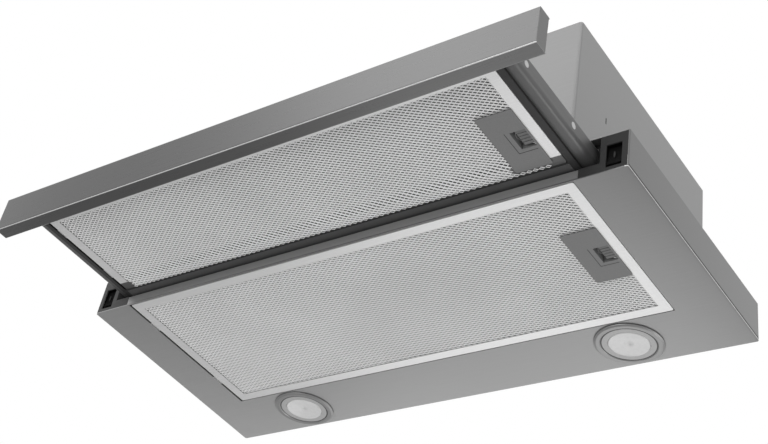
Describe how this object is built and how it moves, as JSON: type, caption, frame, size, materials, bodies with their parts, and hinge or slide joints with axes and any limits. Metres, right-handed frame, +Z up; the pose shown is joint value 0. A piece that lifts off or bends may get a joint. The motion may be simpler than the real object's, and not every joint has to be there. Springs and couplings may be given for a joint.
{
  "type": "pull out range hood",
  "caption": "Telescopic range hood with a pull-out visor on ball slides, two drop-down grease filters, two lamps, rocker switches, a centrifugal blower and a duct collar.",
  "frame": {"origin": "centre of the bounding box at its lowest level, with the visor out", "axes": "+X across the hood to its right as seen from the front, +Y from the front panel to the rear, +Z up"},
  "size_m": [0.598, 0.41, 0.232],
  "materials": {
    "brushed_steel": "fine brushed stainless sheet",
    "zinc_steel": "bright zinc plated",
    "dark_plastic": "matt moulded",
    "grey_plastic": "matt moulded",
    "white_plastic": "matt moulded",
    "black_plastic": "satin moulded",
    "switch_plastic": "fine spark-eroded texture",
    "satin_ring": "satin nickel",
    "frosted_glass": "frosted",
    "rubber": "matt",
    "slide_steel": "rolled, lightly oiled",
    "visor_sheet": "dark satin",
    "steel_cap": "satin grey",
    "filter_aluminium": "rolled",
    "mesh_aluminium": "expanded sheet",
    "foil_aluminium": "folded foil",
    "handle_plastic": "matt grey",
    "latch_plastic": "matt dark grey"
  },
  "bodies": {
    "hood": {"tray": "brushed_steel", "housing": "brushed_steel", "housing_rivets": "zinc_steel", "outlet_collar": "dark_plastic", "flap_pin": "zinc_steel", "scroll_left": "grey_plastic", "scroll_right": "grey_plastic", "motor": "zinc_steel", "motor_bracket": "zinc_steel", "capacitor": "white_plastic", "led_driver": "white_plastic", "terminal_box": "dark_plastic", "cable_gland": "black_plastic", "switch_housing_left": "switch_plastic", "switch_housing_right": "switch_plastic", "switch_body_left": "black_plastic", "switch_body_right": "black_plastic", "lamp_ring_left": "satin_ring", "lamp_ring_right": "satin_ring", "lamp_glass_left": "frosted_glass", "lamp_glass_right": "frosted_glass", "lamp_module_left": "zinc_steel", "lamp_module_right": "zinc_steel", "lamp_clips": "zinc_steel", "rail_left": "zinc_steel", "rail_right": "zinc_steel", "rail_brackets": "zinc_steel", "rail_stops": "rubber"},
    "visor": {"visor": "visor_sheet", "front_panel": "brushed_steel", "panel_back": "zinc_steel", "panel_cap_left": "steel_cap", "panel_cap_right": "steel_cap", "panel_screws": "zinc_steel", "runner_left": "slide_steel", "runner_right": "slide_steel", "runner_rivets": "zinc_steel"},
    "ball_cages": {"cage_left": "zinc_steel", "cage_right": "zinc_steel", "balls": "zinc_steel"},
    "rear_filter": {"rear_frame": "filter_aluminium", "rear_mesh": "mesh_aluminium", "rear_core": "foil_aluminium", "rear_top_mesh": "mesh_aluminium", "rear_handle": "handle_plastic", "rear_spring": "zinc_steel"},
    "rear_bolt": {"rear_latch": "latch_plastic"},
    "front_filter": {"front_frame": "filter_aluminium", "front_mesh": "mesh_aluminium", "front_core": "foil_aluminium", "front_top_mesh": "mesh_aluminium", "front_handle": "handle_plastic", "front_spring": "zinc_steel"},
    "front_bolt": {"front_latch": "latch_plastic"},
    "light_rocker": {"rocker_light": "black_plastic"},
    "fan_rocker": {"rocker_fan": "black_plastic"},
    "front_flap": {"flap_front": "grey_plastic"},
    "rear_flap": {"flap_rear": "grey_plastic"},
    "blower_wheel": {"impeller": "zinc_steel", "motor_shaft": "zinc_steel"}
  },
  "joints": [
    {"name": "visor_slide", "type": "slide", "parent": "hood", "child": "visor", "axis": [0, 1, 0], "range_m": [0, 0.1345]},
    {"name": "cage_slide", "type": "slide", "parent": "hood", "child": "ball_cages", "axis": [0, 1, 0], "range_m": [0, 0.06725]},
    {"name": "rear_filter_tilt", "type": "hinge", "parent": "hood", "child": "rear_filter", "pos_m": [-0.2512, 0.041, 0.0039], "axis": [0, -1, 0], "range_deg": [-60, 0]},
    {"name": "rear_latch_slide", "type": "slide", "parent": "rear_filter", "child": "rear_bolt", "axis": [-1, 0, 0], "range_m": [0, 0.004], "stiffness_N_per_m": 500, "springref_m": -0.002, "deforming": ["rear_spring"]},
    {"name": "front_filter_tilt", "type": "hinge", "parent": "visor", "child": "front_filter", "pos_m": [-0.2512, -0.12695, 0.0159], "axis": [0, -1, 0], "range_deg": [-60, 0]},
    {"name": "front_latch_slide", "type": "slide", "parent": "front_filter", "child": "front_bolt", "axis": [-1, 0, 0], "range_m": [0, 0.004], "stiffness_N_per_m": 500, "springref_m": -0.002, "deforming": ["front_spring"]},
    {"name": "light_rocker_tilt", "type": "hinge", "parent": "hood", "child": "light_rocker", "pos_m": [0.286, -0.0478, 0.0185], "axis": [1, 0, 0], "range_deg": [0, 16]},
    {"name": "fan_rocker_tilt", "type": "hinge", "parent": "hood", "child": "fan_rocker", "pos_m": [-0.286, -0.0478, 0.0185], "axis": [1, 0, 0], "range_deg": [0, 16]},
    {"name": "front_flap_swing", "type": "hinge", "parent": "hood", "child": "front_flap", "pos_m": [0, 0.079, 0.2055], "axis": [-1, 0, 0], "range_deg": [0, 75]},
    {"name": "rear_flap_swing", "type": "hinge", "parent": "hood", "child": "rear_flap", "pos_m": [0, 0.079, 0.2055], "axis": [1, 0, 0], "range_deg": [0, 75]},
    {"name": "blower_spin", "type": "hinge", "parent": "hood", "child": "blower_wheel", "pos_m": [0, 0.05, 0.119], "axis": [1, 0, 0], "continuous": true}
  ],
  "couplings": [
    {"joint": "cage_slide", "follows": "visor_slide", "ratio": 0.5}
  ]
}
